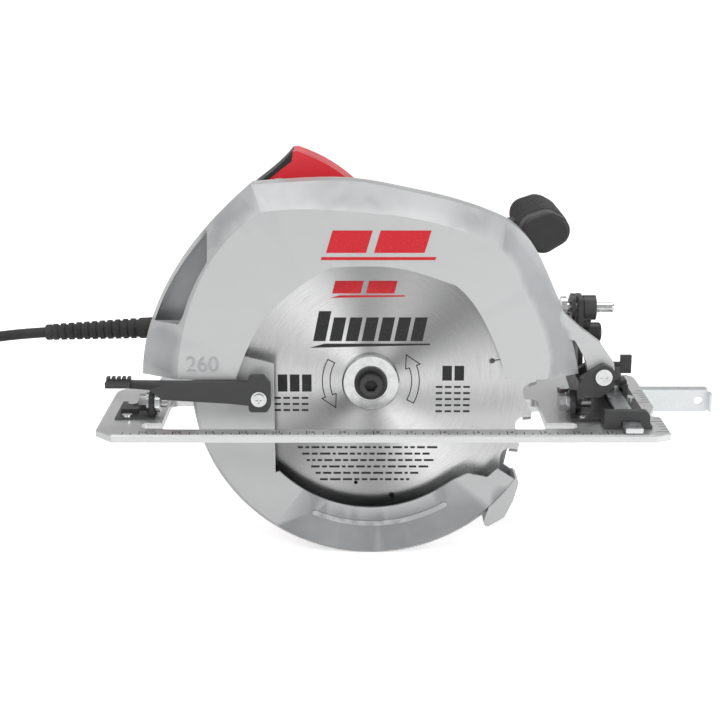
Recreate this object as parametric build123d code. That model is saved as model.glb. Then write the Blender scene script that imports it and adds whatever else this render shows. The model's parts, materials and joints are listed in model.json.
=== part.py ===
from build123d import *
from math import acos, atan2, ceil, cos, degrees, hypot, pi, radians, sin, sqrt, tan
import os

# A corded 260 mm sidewinder circular saw at full cutting depth, in millimetres.
# +X is the cutting direction, +Y the motor side, +Z up. The origin is on the sole of the
# shoe, straight below the arbor, in the blade's middle plane.

# ---- driving dimensions ------------------------------------------------------------
BLADE_R = 130.2
BLADE_PLATE = 1.8
KERF = 2.6
TEETH = 28
FULL_DEPTH = 96.8
ARBOR_Z = BLADE_R - FULL_DEPTH
ARBOR_R = 7.92
SHOE_T = 6.0
OPENING_X = (-162.0, 136.0)
OPENING_Y = (-38.0, 40.0)
BEVEL_Z = 16.0
PIVOT_X, PIVOT_Z = 180.0, 41.0
GUARD_BOTTOM = 41.0
GUARD_FACE_Y = -22.0
GUARD_RIM_Y = -5.0
GUARD_BACK_Y = 15.0
GUARD_WALL = 2.5
LOWER_R = 139.0
LOWER_Y = (-16.0, 10.0)
LOWER_WALL = 2.0
FLOOR_Z = ARBOR_Z - LOWER_R
RUNNING = 0.05
SNUG = 0.03

# gear train: spindle gear and motor pinion
MODULE = 1.0
GEAR_TEETH, PINION_TEETH = 44, 11
CENTRES = MODULE * (GEAR_TEETH + PINION_TEETH) / 2
MOTOR_X = 3.0
MOTOR_Z = ARBOR_Z + sqrt(CENTRES**2 - MOTOR_X**2)
MOTOR_R = 48.0
GEAR_Y = (26.0, 36.0)
CASE_Y = (GUARD_BACK_Y, 47.0)
MOTOR_Y = (47.0, 150.0)
CAP_END_Y = 168.0

# handle, split down its middle plane
HANDLE_Y = 60.0
HANDLE_HALF = 17.0
HANDLE_WALL = 3.0

# power cord
CORD_D = 8.5
CORD_LENGTH = 2400.0
COIL_X, COIL_Y = -430.0, 107.0
COIL_RADII = (43.0, 51.5)
COIL_LAYERS = 5


# ---- helpers -----------------------------------------------------------------------
def slab(face, y0, y1):
    """A flat shape drawn in X and Z, filled from y0 to y1."""
    return extrude(Plane.XZ.offset(-y1) * face, amount=y1 - y0)


def polygon(points, radius=0):
    """A closed outline in X and Z with every corner rounded alike."""
    face = make_face(Polyline(*points, close=True))
    return fillet(face.vertices(), radius) if radius else face


def disc(x, z, r, y0, y1):
    return slab(Pos(x, z) * Circle(r), y0, y1)


def ring(x, z, r_in, r_out, y0, y1):
    return disc(x, z, r_out, y0, y1) - disc(x, z, r_in, y0 - 1, y1 + 1)


def block(x0, x1, y0, y1, z0, z1):
    size = Box(x1 - x0, y1 - y0, z1 - z0)
    return Pos((x0 + x1) / 2, (y0 + y1) / 2, (z0 + z1) / 2) * size


def rod_x(y, z, r, x0, x1):
    return Pos(x0, y, z) * Rot(0, 90, 0) * Cylinder(r, x1 - x0, align=STANDING)


def rod_z(x, y, r, z0, z1):
    return Pos(x, y, z0) * Cylinder(r, z1 - z0, align=STANDING)


def plate_z(face, z0, z1):
    """A flat shape drawn in X and Y, filled from z0 to z1."""
    return extrude(Pos(0, 0, z0) * face, amount=z1 - z0)


def plate_x(face, x0, x1):
    """A flat shape drawn in Y and Z, filled from x0 to x1."""
    return extrude(Plane.YZ.offset(x0) * face, amount=x1 - x0)


def polar(radius, angle, x=0.0, z=ARBOR_Z):
    """A point at a radius and an angle in degrees about (x, z), from +X towards +Z."""
    return (x + radius * cos(radians(angle)), z + radius * sin(radians(angle)))


def sector(radius, start, end, x=0.0, z=ARBOR_Z):
    """A pie slice from start to end degrees, anticlockwise, for cutting with."""
    steps = max(2, ceil((end - start) / 30))
    turns = [start + (end - start) * i / steps for i in range(steps + 1)]
    reach = radius / cos(radians((end - start) / steps / 2))
    return polygon([(x, z)] + [polar(reach, turn, x, z) for turn in turns])


def arc_slot(radius, width, start, end, x, z):
    """A slot with round ends along an arc about (x, z)."""
    band = Pos(x, z) * Circle(radius + width / 2) - Pos(x, z) * Circle(radius - width / 2)
    band = band & sector(radius + width, start, end, x, z)
    for angle in (start, end):
        px, pz = polar(radius, angle, x, z)
        band += Pos(px, pz) * Circle(width / 2)
    return band


def hexagon(r):
    return RegularPolygon(r, 6)


def involute(angle):
    return tan(angle) - angle


def gear_outline(teeth, backlash=0.12, addendum=0.6, dedendum=0.9):
    """An involute spur gear with short teeth, a tooth centred on +X."""
    pitch_r = MODULE * teeth / 2
    base_r = pitch_r * cos(radians(20))
    radii = [pitch_r - dedendum, max(base_r, pitch_r - dedendum + 0.1)]
    tip_r = pitch_r + addendum
    radii += [radii[1] + (tip_r - radii[1]) * k / 4 for k in (1, 2, 3, 4)]
    half = pi / (2 * teeth) - backlash / (2 * pitch_r) + involute(radians(20))
    flank = []
    for r in radii:
        pressure = acos(min(1.0, base_r / r))
        flank.append((r, half - involute(pressure)))
    points = []
    for tooth in range(teeth):
        middle = 2 * pi * tooth / teeth
        for r, spread in flank:
            points.append((r * cos(middle - spread), r * sin(middle - spread)))
        for r, spread in reversed(flank):
            points.append((r * cos(middle + spread), r * sin(middle + spread)))
    return make_face(Polyline(*points, close=True))


STANDING = (Align.CENTER, Align.CENTER, Align.MIN)
NODES = {}


def part(name):
    """Registers the function below it as the maker of one named node."""
    def keep(make):
        NODES[name] = make
        return make
    return keep


# ---- shoe and what is fixed to it ----------------------------------------------------
SHOE_X = (-211.0, 228.0)
SHOE_NEAR_Y, SHOE_FAR_Y, SHOE_TAIL_Y = -52.0, 115.0, 72.0
BRACKET_T = 2.5
RIP_ARM_X = (191.5, 204.5)
RIP_ARM_Z = (9.5, 12.5)
POST_Y, POST_Z = 45.0, 82.0


@part("shoe")
def shoe():
    rear, front = SHOE_X
    outline = Polyline(
        (rear + 14, SHOE_NEAR_Y), (front - 12, SHOE_NEAR_Y), (front, SHOE_NEAR_Y + 6),
        (front, -6), (front - 9, -3), (front, 23), (front, SHOE_FAR_Y),
        (40, SHOE_FAR_Y), (-60, SHOE_TAIL_Y + 4), (rear, SHOE_TAIL_Y),
        (rear, SHOE_NEAR_Y + 15), close=True)
    length = OPENING_X[1] - OPENING_X[0]
    middle = ((OPENING_X[0] + OPENING_X[1]) / 2, (OPENING_Y[0] + OPENING_Y[1]) / 2)
    opening = Pos(*middle) * RectangleRounded(length, OPENING_Y[1] - OPENING_Y[0], 6)
    opening += Pos(middle[0] + 4, -29) * RectangleRounded(length + 38, 14, 5)
    plate = plate_z(make_face(outline) - opening, 0, SHOE_T)
    corners = plate.edges().filter_by(Axis.Z).filter_by_position(Axis.Y, 60, 120)
    plate = fillet(corners, 12)
    return chamfer(plate.faces().sort_by(Axis.Z)[-1].outer_wire().edges(), 1.2)


@part("front_bracket")
def front_bracket():
    """Base plate, bevel lug, rip-fence channel and the post of the bevel lock."""
    foot = block(156, 215, -20, 66, SHOE_T, SHOE_T + BRACKET_T)
    near = block(178, 215, -38, -20, SHOE_T, SHOE_T + BRACKET_T)
    outline = polygon([(178, 0), (213, 0), (213, 14.5), (178, 14.5)])
    corner = outline.vertices().sort_by(Axis.X)[-2:].sort_by(Axis.Y)[-1]
    wall = slab(Pos(0, SHOE_T) * fillet(corner, 5), -38, -32)
    sides = block(184.5, 190, -38, -22, SHOE_T, 16)
    sides += block(206, 211.5, -38, -22, SHOE_T, 16)
    lug = plate_x(Pos(0, BEVEL_Z) * Circle(10) + Pos(0, 11) * Rectangle(20, 10), 156, 160)
    post = polygon([(22, SHOE_T), (66, SHOE_T), (56, 92), (34, 92)], 3)
    post = plate_x(post, 166, 170)
    rail = block(186, 190, 40, 66, SHOE_T, 18) + block(206, 210, 40, 66, SHOE_T, 18)
    bridge = block(186, 210, 46, 60, 16, 20)
    body = foot + near + wall + sides + lug + post + rail + bridge
    body -= block(RIP_ARM_X[0] - 0.6, RIP_ARM_X[1] + 0.6, -60, 80, SHOE_T + BRACKET_T, 13.2)
    body -= rod_x(0, BEVEL_Z, 4 + SNUG, 150, 165)
    body -= rod_x(POST_Y, POST_Z, 4 + SNUG, 160, 175)
    return body - rod_z(198, 53, 3 + RUNNING, 12, 24)


@part("rear_bracket")
def rear_bracket():
    foot = block(-200, -169, -14, 30, SHOE_T, 7.4)
    foot -= block(-176, -168, 12, 31, 5, 9)
    lug = plate_x(Pos(0, BEVEL_Z) * Circle(9) + Pos(0, 10.5) * Rectangle(18, 9), -174, -170)
    rib = block(-197, -183, -2, 2, SHOE_T, 11)
    return foot + lug + rib - rod_x(0, BEVEL_Z, 4 + SNUG, -180, -160)


@part("bracket_rivets")
def bracket_rivets():
    spots = [(-191, -9, 7.4), (-191, 22, 7.4), (165, -15, 8.5), (210, 35, 8.5), (161, 60, 8.5)]
    heads = [Pos(x, y, z) * Cylinder(4, 1.6, align=STANDING) for x, y, z in spots]
    return Compound(children=heads)


@part("bevel_pins")
def bevel_pins():
    """A shouldered bolt with a washer and a nut at each end of the bevel axis."""
    front = rod_x(0, BEVEL_Z, 4, 150, 173) + rod_x(0, BEVEL_Z, 8, 153.5, 156)
    front += plate_x(Pos(0, BEVEL_Z) * hexagon(7), 148, 153.5)
    rear = rod_x(0, BEVEL_Z, 4, -178, -160) + rod_x(0, BEVEL_Z, 8, -176, -174)
    rear += plate_x(Pos(0, BEVEL_Z) * hexagon(7), -182, -176)
    return Compound(children=[front, rear])


@part("bevel_lock_bolt")
def bevel_lock_bolt():
    """Carriage bolt through the quadrant's slot and the post."""
    bolt = rod_x(POST_Y, POST_Z, 4, 157, 196) + rod_x(POST_Y, POST_Z, 9, 153, 157.5)
    return fillet(bolt.edges().filter_by_position(Axis.X, 195.5, 196.5), 1.5)


# ---- carrier that tilts on the shoe ---------------------------------------------------
EAR_NEAR_Y, EAR_FAR_Y = (-15.0, -8.0), (8.0, 15.0)
STRAP_Y = (18.0, 21.0)
STRAP_R = 285.0
STRAP_ANGLES = (151.5, 178.5)
BEVEL_SLOT_R = hypot(POST_Y, POST_Z - BEVEL_Z)
BEVEL_SLOT_ANGLE = degrees(atan2(POST_Z - BEVEL_Z, POST_Y))


@part("bevel_yoke")
def bevel_yoke():
    """Front plate on the bevel axis, the depth pivot's two ears and the slotted quadrant."""
    back = Pos(0, BEVEL_Z) * Circle(7)
    back += polygon([(-15, 23), (-6, 14), (15, 14), (15, 38), (-15, 38)], 2)
    back = plate_x(back, 160.4, 164.4)
    ear = polygon([(162.5, 27), (178, 24), (188, 32), (189, 46), (180, 51), (162.5, 40)], 4)
    body = back + slab(ear, *EAR_NEAR_Y) + slab(ear, *EAR_FAR_Y)
    low, high = BEVEL_SLOT_ANGLE - 45, BEVEL_SLOT_ANGLE
    band = arc_slot(BEVEL_SLOT_R, 22, low - 1, high + 1, 0, BEVEL_Z)
    band -= arc_slot(BEVEL_SLOT_R, 9, low - 0.5, high + 0.5, 0, BEVEL_Z)
    quadrant = plate_x(band, 161.0, 164.0)
    arm = polygon([(9, 14), (72, 24), (70, 34), (9, 30)])
    body += quadrant + plate_x(arm, 161.0, 164.0)
    body -= rod_x(0, BEVEL_Z, 4 + RUNNING, 158, 170)
    return body - disc(PIVOT_X, PIVOT_Z, 5 + SNUG, -20, 20)


@part("depth_pivot_pin")
def depth_pivot_pin():
    pin = disc(PIVOT_X, PIVOT_Z, 5, -16, 16) + disc(PIVOT_X, PIVOT_Z, 6.5, -17.2, -15)
    pin += disc(PIVOT_X, PIVOT_Z, 6.5, 15, 17.5)
    cross = slab(Pos(PIVOT_X, PIVOT_Z) * (Rectangle(6, 1.3) + Rectangle(1.3, 6)), -18, -16.4)
    return pin - cross


@part("depth_strap")
def depth_strap():
    """Curved strap whose slot guides the depth lock, standing on the rear bevel axis."""
    start, end = STRAP_ANGLES
    band = arc_slot(STRAP_R, 26, start, end, PIVOT_X, PIVOT_Z)
    band += polygon([(-168, 13), (-92, 34), (-92, 52), (-118, 60), (-168, 30)], 3)
    band -= arc_slot(STRAP_R, 9, start + 0.5, end - 0.3, PIVOT_X, PIVOT_Z)
    foot = plate_x(Pos(0, BEVEL_Z) * Circle(8), -169.4, -165.4)
    foot += plate_x(Pos(10.5, 18.5) * Rectangle(21, 11), -169.4, -165.4)
    body = slab(band, *STRAP_Y) + foot
    return body - rod_x(0, BEVEL_Z, 4 + RUNNING, -172, -160)


@part("bevel_lock_lever")
def bevel_lock_lever():
    hub = rod_x(POST_Y, POST_Z, 10, 171, 181)
    arm = polygon([(38, 80), (52, 84), (72, 60), (66, 54)], 3)
    knob = fillet(rod_x(67, 56, 8, 172, 190).edges(), 2)
    return hub + plate_x(arm, 173, 179) + knob - rod_x(POST_Y, POST_Z, 4 + RUNNING, 165, 200)


# ---- rip fence ------------------------------------------------------------------------
@part("rip_fence")
def rip_fence():
    """Strip arm through the front bracket, joggled down to an L-shaped guide."""
    bar = block(*RIP_ARM_X, -54, 120, *RIP_ARM_Z)
    hook = block(*RIP_ARM_X, -56.5, -54, RIP_ARM_Z[0] - 0.7, RIP_ARM_Z[1])
    drop = block(*RIP_ARM_X, 118, 120.5, -12, RIP_ARM_Z[1])
    leg = polygon([(91, -30), (296, -30), (296, -10), (91, -10)], 2)
    leg = slab(leg, 120.5, 122.5) + block(91, 296, 122.5, 131, -12, -10)
    tab = block(296, 298, 113, 122.5, -28, -12)
    return bar + hook + drop + leg + tab - disc(288, -20, 3.5, 118, 124) \
        - disc(99, -20, 3.5, 118, 124)


@part("rip_clamp_knob")
def rip_clamp_knob():
    screw = rod_z(198, 53, 3, 12.7, 24)
    hub = rod_z(198, 53, 8, 20.6, 32)
    wings = block(182, 214, 51, 55, 25, 40) - block(191, 205, 50, 56, 34, 41)
    return screw + hub + wings


# ---- fixed guard and gear case ---------------------------------------------------------
FACE_REAR = [(-148.9, GUARD_BOTTOM), (-145.6, 68), (-123.3, 129.4), (-82.3, 170.5)]
FACE_TOP = [(-82.3, 170.5), (-48, 173), (-7, 170.5), (23, 167.5), (66.4, 157), (98.5, 142.6)]
FACE_FRONT = [(98.5, 142.6), (108.2, 126.6), (119.4, 102.4), (133.9, 70.2),
              (135.6, GUARD_BOTTOM)]
RIM_REAR = [(-178, GUARD_BOTTOM), (-173.9, 69.6), (-155.5, 115), (-125.9, 155), (-90.4, 188.9)]
RIM_TOP = [(-90.4, 188.9), (-49.8, 191.5), (-11, 191), (23.6, 185), (56.8, 177.6),
           (101.7, 162)]
RIM_FRONT = [(101.7, 162), (125, 140.4), (138.2, 114), (149.7, 87.8), (159.5, 53.5),
             (162, GUARD_BOTTOM)]
WINDOW = [(-103.6, 20), (-103.6, 42.3), (-94.3, 66.2), (-84, 85), (-66.9, 103.8),
          (-49.8, 117.4), (-31.4, 128.6)]
WINDOW_TOP = [(-31.4, 128.6), (-6, 129.6), (21.4, 128), (46.8, 121), (63.9, 115)]
WINDOW_FRONT = [(63.9, 115), (74.5, 104.6), (84.4, 90), (92, 74.7), (98.8, 58), (103.2, 42.6)]
CHUTE = [(-124.6, 157), (-123.7, 130.2), (-147, 83.6), (-175, 83.6), (-175, 110), (-141, 145)]
SNOUT_R = 24.0
NEAR_BEARING_R, NEAR_BEARING_Y = 17.5, (12.0, 23.0)
FAR_BEARING_R, FAR_BEARING_Y = 11.0, (38.0, 45.0)
ROTOR_BEARING_R, ROTOR_BEARING_Y = 9.5, (38.0, 44.0)
LOCK_PIN_Y, LOCK_BUTTON_Z = 31.0, ARBOR_Z
DEPTH_LOCK = polar(STRAP_R, 178, PIVOT_X, PIVOT_Z)
GUARD_SCREWS = [(-42, 84), (-42, 40), (48, 86), (44, 38)]


def inset(points, wall):
    """The points moved towards the arbor; those on the open bottom edge go below it."""
    moved = []
    for x, z in points:
        share = 1 - wall / hypot(x, z - ARBOR_Z)
        low = z <= GUARD_BOTTOM
        moved.append((x * share, z - 3 if low else ARBOR_Z + (z - ARBOR_Z) * share))
    return moved


def guard_face(rear, top, front):
    edges = [Spline(*rear), Spline(*top), Spline(*front), Line(front[-1], rear[0])]
    return make_face(Curve() + edges)


def guard_block(wall, near_y, rim_y, back_y):
    """The guard's outer form, or its hollow when a wall is taken off."""
    face = [inset(line, wall) if wall else line for line in (FACE_REAR, FACE_TOP, FACE_FRONT)]
    rim = [inset(line, wall) if wall else line for line in (RIM_REAR, RIM_TOP, RIM_FRONT)]
    near = Plane.XZ.offset(-near_y) * guard_face(*face)
    far = Plane.XZ.offset(-rim_y) * guard_face(*rim)
    bevel = loft([near, far], ruled=True)
    return bevel + slab(guard_face(*rim), rim_y, back_y)


@part("upper_guard")
def upper_guard():
    body = guard_block(0, GUARD_FACE_Y, GUARD_RIM_Y, GUARD_BACK_Y)
    hollow = guard_block(GUARD_WALL, GUARD_FACE_Y + GUARD_WALL, GUARD_RIM_Y,
                         GUARD_BACK_Y - GUARD_WALL)
    window = Curve() + [Polyline(*WINDOW[:2]), Spline(*WINDOW[1:]), Spline(*WINDOW_TOP),
                        Spline(*WINDOW_FRONT), Polyline(WINDOW_FRONT[-1], (103.2, 20), WINDOW[0])]
    body = body - hollow - slab(make_face(window), -30, -15)
    frame = polygon(CHUTE, 3)
    body -= slab(frame, -20, -1)
    body += chute_box(frame)
    arm = polygon([(142, 96), (149, 89.5), (163.7, 76), (178.4, 65), (189, 50), (190, 41),
                   (180, 31), (171, 36), (167, 52), (158, 68), (144, 70)], 3)
    arm = slab(arm, -7, 7) - hollow
    body += arm
    body -= disc(PIVOT_X, PIVOT_Z, 5 + RUNNING, -20, 20)
    body -= disc(0, ARBOR_Z, SNOUT_R + 1, 10, 20)
    body -= disc(*DEPTH_LOCK, 4 + SNUG, 10, 20)
    for x, z in GUARD_SCREWS:
        body -= disc(x, z, 2.5 + SNUG, 10, 20)
    return body


def chute_box(frame):
    """Walls round the dust outlet, leading back from the bevel into the guard."""
    walls = slab(offset(frame, 2), -12, -4) - slab(frame, -13, -3)
    limit = guard_block(0, GUARD_FACE_Y, GUARD_RIM_Y, GUARD_BACK_Y)
    sweep_room = disc(0, ARBOR_Z, LOWER_R + 3, -30, 20)
    return (walls & limit) - sweep_room


@part("gear_case")
def gear_case():
    """Casting between guard and motor; its snout carries the lower guard."""
    lower = disc(0, ARBOR_Z, 27, *CASE_Y) - block(-40, 40, 0, 60, 0, 7)
    upper = disc(MOTOR_X, MOTOR_Z, 36, CASE_Y[0], 40)
    flange = disc(MOTOR_X, MOTOR_Z, MOTOR_R, 40, CASE_Y[1])
    flange -= block(-60, 60, 30, 60, 0, 12.5)
    body = lower + upper + flange
    for x, z in GUARD_SCREWS:
        body += disc(x, z, 6.5, CASE_Y[0], 21)
        nearest = (MOTOR_X + 0.6 * (x - MOTOR_X), MOTOR_Z + 0.6 * (z - MOTOR_Z))
        body += slab(make_hull([*(Pos(x, z) * Circle(5)).edges(),
                                *(Pos(*nearest) * Circle(5)).edges()]), CASE_Y[0], 20)
        body -= disc(x, z, 2.5 + SNUG, 10, 30)
    body += disc(0, ARBOR_Z, SNOUT_R, 7, CASE_Y[0])
    body += slab(Pos(30, LOCK_BUTTON_Z) * RectangleRounded(20, 14, 3), 24, 38)
    body -= disc(0, ARBOR_Z, 12, 0, 25)
    body -= disc(0, ARBOR_Z, NEAR_BEARING_R + SNUG, *NEAR_BEARING_Y)
    body -= disc(0, ARBOR_Z, GEAR_TEETH * MODULE / 2 + 2, 24, 37.5)
    body -= disc(MOTOR_X, MOTOR_Z, 10, 24, 37.5)
    body -= disc(0, ARBOR_Z, FAR_BEARING_R + SNUG, 37, FAR_BEARING_Y[1] + 0.1)
    body -= disc(MOTOR_X, MOTOR_Z, ROTOR_BEARING_R + SNUG, 37, 50)
    body -= rod_x(LOCK_PIN_Y, LOCK_BUTTON_Z, 3 + RUNNING, 20, 50)
    return body


@part("guard_screws")
def guard_screws():
    """Button-head screws from the hub side of the guard's back wall into the gear case."""
    screws = []
    for x, z in GUARD_SCREWS:
        screw = disc(x, z, 2.5, GUARD_BACK_Y - GUARD_WALL, 22)
        screws.append(screw + disc(x, z, 4.8, 11.2, GUARD_BACK_Y - GUARD_WALL))
    return Compound(children=screws)


@part("guard_retaining_ring")
def guard_retaining_ring():
    gap = Pos(SNOUT_R + 1, ARBOR_Z) * Rectangle(8, 5)
    return ring(0, ARBOR_Z, SNOUT_R + 0.01, 27, 7, 7.8) - slab(gap, 5, 9)


@part("guard_spring")
def guard_spring():
    """Flat torsion spring between the lower guard and the fixed guard's back wall."""
    turn = ring(0, ARBOR_Z, 28, 29.2, 10.6, 11.8)
    return turn - slab(Pos(0, ARBOR_Z) * Rectangle(3, 80) & Pos(0, 70) * Rectangle(9, 40), 9, 13)


# ---- lower guard ------------------------------------------------------------------------
LEVER_SCREW = (-86.0, 27.5)
LEVER_Y = (-30.0, -24.0)
LIP = [(88, -86), (106, -75), (113, -60), (117, -45), (110, -38), (98, -50)]


@part("lower_guard")
def lower_guard():
    """Swinging cover: near wall, rim, back wall on the snout and a flared front lip."""
    near_y, back_y = LOWER_Y
    rear, front = 166.0, 326.0
    pie = sector(170, rear, front)
    drum = slab((Pos(0, ARBOR_Z) * Circle(LOWER_R)) & pie, near_y, back_y)
    drum -= disc(0, ARBOR_Z, LOWER_R - 2.5, near_y + LOWER_WALL, back_y - LOWER_WALL)
    cone = Pos(0, near_y + 1, ARBOR_Z) * Rot(-90, 0, 0) * Cone(LOWER_R - 4, LOWER_R, 4)
    drum -= ring(0, ARBOR_Z, LOWER_R - 6, LOWER_R + 10, near_y - 1, near_y + 3) - cone
    wedge = polygon([(-75, 60), (-75, -37), polar(100, 224), (0, -66.6), polar(100, 300),
                     (64, -44), (76, -38), (92, -41), (104, -30), (160, -40), (160, 60)])
    opening = wedge + Pos(0, ARBOR_Z) * Circle(100) - slab_left_of(-75)
    body = drum - slab(opening, near_y - 1, near_y + LOWER_WALL)
    back = (Pos(0, ARBOR_Z) * Circle(33)) + polygon([(-30, 48), polar(136, 166), polar(136, 180),
           (-60, -40), (60, -60), (104, -52), (113, -8), (106, 6), (28, 48)], 6)
    back = (back & (Pos(0, ARBOR_Z) * Circle(LOWER_R - 1)))
    body += slab(back, back_y - LOWER_WALL, back_y)
    lip = slab(polygon(LIP, 3), near_y, back_y) - disc(0, ARBOR_Z, LOWER_R - 2.5, -30, 20)
    body += lip - slab(offset(polygon(LIP, 3), -2.5), near_y + LOWER_WALL, back_y - LOWER_WALL)
    rib = arc_slot(113, 4, 247, 301, 0, ARBOR_Z)
    body += slab(rib, near_y - 1, near_y)
    body -= disc(0, ARBOR_Z, SNOUT_R + RUNNING, 0, 20)
    return body - disc(*LEVER_SCREW, 2.5 + SNUG, -20, -10)


def slab_left_of(x):
    """Everything left of x, for keeping the near wall's rear part whole."""
    return Pos(x - 100, 0) * Rectangle(200, 400)


@part("guard_lever")
def guard_lever():
    near, far = LEVER_Y
    head = polygon([(-94, 17), (-80, 17), (-77, 22), (-77, 40), (-82, 46), (-94, 46)], 3)
    arm = polygon([(-90, 41), (-90, 22), (-110, 24), (-160, 27), (-170, 35), (-203, 37.5),
                   (-203, 41.5), (-150, 41)], 2)
    thumb = [Pos(-201 + 4 * step, 42) * Rectangle(2.4, 5) for step in range(5)]
    body = slab(head + arm, near, far)
    for rib in thumb:
        body += slab(rib, near, far)
    body += slab(polygon([(-203, 37), (-184, 37), (-184, 42), (-203, 42)], 1), near - 3, far)
    boss = disc(*LEVER_SCREW, 6, far, LOWER_Y[0])
    return body + boss - disc(*LEVER_SCREW, 2.5 + SNUG, -40, -10)


@part("lever_screw")
def lever_screw():
    near = LEVER_Y[0]
    screw = disc(*LEVER_SCREW, 2.5, near, LOWER_Y[0] + LOWER_WALL)
    screw += disc(*LEVER_SCREW, 6, near - 0.8, near) + disc(*LEVER_SCREW, 4.4, near - 3.2, near)
    cross = Rectangle(5, 1.1) + Rectangle(1.1, 5)
    return screw - slab(Pos(*LEVER_SCREW) * cross, near - 4, near - 1.8)


# ---- blade and spindle --------------------------------------------------------------------
FLANGE_R = 22.6
PLATE_Y = (-BLADE_PLATE / 2, BLADE_PLATE / 2)
GULLET = 10.0
TIP_ROOT_R = BLADE_R - 6.5


def tooth_outline(spread=0.0):
    """One tooth space: hooked face, round gullet and a long rising back, at angle 0."""
    step = 360 / TEETH
    tip = polar(BLADE_R + 1, 0, 0, 0)
    floor = polar(BLADE_R - GULLET, -2.6, 0, 0)
    heel = polar(BLADE_R - GULLET + 1.5, -step * 0.52, 0, 0)
    back = polar(BLADE_R - 1.8, -step + 1.9, 0, 0)
    end = polar(BLADE_R + 1, -step + 1.4, 0, 0)
    return make_face(Curve() + [
        Line(tip, polar(TIP_ROOT_R, -1.0, 0, 0)),
        ThreePointArc(polar(TIP_ROOT_R, -1.0, 0, 0), floor, polar(BLADE_R - GULLET, -5.0, 0, 0)),
        Line(polar(BLADE_R - GULLET, -5.0, 0, 0), heel), Line(heel, back), Line(back, end),
        ThreePointArc(end, polar(BLADE_R + 3, -step / 2, 0, 0), tip)])


@part("blade")
def blade():
    """Toothed plate with four expansion slots and a small balancing hole."""
    step = 360 / TEETH
    spaces = [Rot(0, 0, step * k) * tooth_outline() for k in range(TEETH)]
    face = Circle(BLADE_R - 0.6) - spaces
    for k in range(4):
        turn = Rot(0, 0, 100 + 90 * k)
        face -= turn * Pos(BLADE_R - 21, 0) * Rectangle(26, 0.9)
        face -= turn * Pos(BLADE_R - 34, 0) * Circle(2.2)
    face -= Circle(ARBOR_R + SNUG)
    face -= Pos(*polar(85, 262, 0, 0)) * Circle(1.5)
    return slab(Pos(0, ARBOR_Z) * face, *PLATE_Y)


@part("carbide_tips")
def carbide_tips():
    step = 360 / TEETH
    tips = [slab(Pos(0, ARBOR_Z) * Rot(0, 0, step * k) * tip_face(), -KERF / 2, KERF / 2)
            for k in range(TEETH)]
    return Compound(children=tips)


def tip_face():
    """A carbide tip standing just off the tooth's cutting face."""
    return make_face(Polyline(polar(BLADE_R, -0.2, 0, 0), polar(TIP_ROOT_R + 0.4, -1.12, 0, 0),
                              polar(TIP_ROOT_R + 0.4, -2.0, 0, 0),
                              polar(BLADE_R - 0.3, -1.05, 0, 0), close=True))


@part("outer_flange")
def outer_flange():
    near = PLATE_Y[0] - 5
    body = disc(0, ARBOR_Z, FLANGE_R, near, PLATE_Y[0])
    body = chamfer(body.faces().sort_by(Axis.Y)[0].edges(), 1.2)
    body -= disc(0, ARBOR_Z, 15, near - 1, near + 0.8)
    return body - disc(0, ARBOR_Z, ARBOR_R + SNUG, -10, 0)


@part("inner_flange")
def inner_flange():
    body = disc(0, ARBOR_Z, FLANGE_R, PLATE_Y[1], 6) + disc(0, ARBOR_Z, 11.5, 6, 11.8)
    return body - disc(0, ARBOR_Z, ARBOR_R + SNUG, 0, 15)


@part("blade_bolt")
def blade_bolt():
    seat = PLATE_Y[0] - 4.2
    bolt = disc(0, ARBOR_Z, 4, seat, 14) + disc(0, ARBOR_Z, 13, seat - 2.6, seat)
    head = disc(0, ARBOR_Z, 9.5, seat - 9, seat - 2.6)
    bolt += chamfer(head.faces().sort_by(Axis.Y)[0].edges(), 1)
    return bolt - slab(Pos(0, ARBOR_Z) * hexagon(5.2), seat - 10, seat - 4)


@part("spindle_shaft")
def spindle_shaft():
    shaft = disc(0, ARBOR_Z, ARBOR_R, -4.5, 37) + disc(0, ARBOR_Z, 4, 37, 45)
    return shaft - disc(0, ARBOR_Z, 4 + SNUG, -5, 15)


@part("bull_gear")
def bull_gear():
    lean = degrees(atan2(MOTOR_Z - ARBOR_Z, MOTOR_X))
    face = Pos(0, ARBOR_Z) * Rot(0, 0, lean) * (gear_outline(GEAR_TEETH) - Circle(ARBOR_R + SNUG))
    return slab(face, *GEAR_Y)


@part("spindle_bearings")
def spindle_bearings():
    near = ring(0, ARBOR_Z, ARBOR_R + RUNNING, NEAR_BEARING_R, *NEAR_BEARING_Y)
    far = ring(0, ARBOR_Z, 4 + RUNNING, FAR_BEARING_R, *FAR_BEARING_Y)
    return Compound(children=[near, far])


# ---- motor ----------------------------------------------------------------------------------
ROTOR_SHAFT_R = 3.0
ROTOR_Y = (66.0, 112.0)
COMMUTATOR_Y = (118.0, 133.0)
FAN_Y = (49.0, 60.0)
END_BEARING_Y = (150.5, 156.5)


def on_motor(r, y0, y1):
    return disc(MOTOR_X, MOTOR_Z, r, y0, y1)


@part("armature_shaft")
def armature_shaft():
    """Motor shaft with the pinion cut on its end, a tooth space facing the spindle."""
    lean = degrees(atan2(ARBOR_Z - MOTOR_Z, -MOTOR_X)) + 180 / PINION_TEETH
    pinion = slab(Pos(MOTOR_X, MOTOR_Z) * Rot(0, 0, lean) * gear_outline(PINION_TEETH), *GEAR_Y)
    return pinion + on_motor(ROTOR_SHAFT_R, 36, 62) + on_motor(5, 62, 134) \
        + on_motor(ROTOR_SHAFT_R, 134, 156)


@part("rotor_core")
def rotor_core():
    core = on_motor(24, *ROTOR_Y)
    for k in range(12):
        px, pz = polar(23, 30 * k, MOTOR_X, MOTOR_Z)
        core -= slab(Pos(px, pz) * Circle(1.6), ROTOR_Y[0] - 1, ROTOR_Y[1] + 1)
    return core - on_motor(5 + SNUG, 60, 120)


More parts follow.
